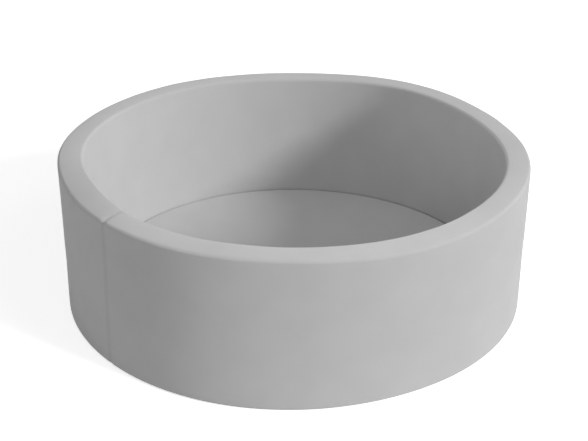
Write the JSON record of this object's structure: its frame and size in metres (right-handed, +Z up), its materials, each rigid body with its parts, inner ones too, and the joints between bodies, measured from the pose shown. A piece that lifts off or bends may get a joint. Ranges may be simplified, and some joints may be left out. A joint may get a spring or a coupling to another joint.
{
  "type": "ball pit",
  "caption": "Round foam ball pit for small children: a soft ring wall and a padded floor in a smooth plain fabric cover that zips open at the foot of its back.",
  "frame": {"origin": "middle of the underside, on the surface that the pit stands on", "axes": "+Z up, along the ring's axis; -Y towards the front, +Y towards the zip at the back"},
  "size_m": [0.9, 0.9, 0.295],
  "materials": {
    "foam": "matte open-cell polyurethane foam",
    "cover_fabric": "matte light grey, smooth short pile",
    "underside_fabric": "matte light grey",
    "zip_tape": "matte woven tape, grey",
    "zip_teeth": "satin moulded plastic, grey",
    "zip_slider": "satin"
  },
  "bodies": {
    "pit": {"foam_wall": "foam", "foam_mat": "foam", "cover_sleeve": "cover_fabric", "cover_floor": "cover_fabric", "cover_underside": "underside_fabric", "zip_tape_upper": "zip_tape", "zip_tape_lower": "zip_tape", "zip_teeth_upper": "zip_teeth", "zip_teeth_lower": "zip_teeth", "zip_top_stop_upper": "zip_teeth", "zip_top_stop_lower": "zip_teeth", "zip_bottom_stop": "zip_teeth"},
    "slider": {"zip_slider": "zip_slider"},
    "pull": {"zip_pull": "zip_slider"}
  },
  "joints": [
    {"name": "zip_travel", "type": "hinge", "parent": "pit", "child": "slider", "pos_m": [0, 0, 0.0165], "axis": [0, 0, 1], "range_deg": [0, 71.3], "deforming": ["zip_teeth_upper", "zip_teeth_lower"]},
    {"name": "pull_flip", "type": "hinge", "parent": "slider", "child": "pull", "pos_m": [0.26143, 0.35961, 0.0165], "axis": [0, 0, -1], "range_deg": [0, 180]}
  ]
}
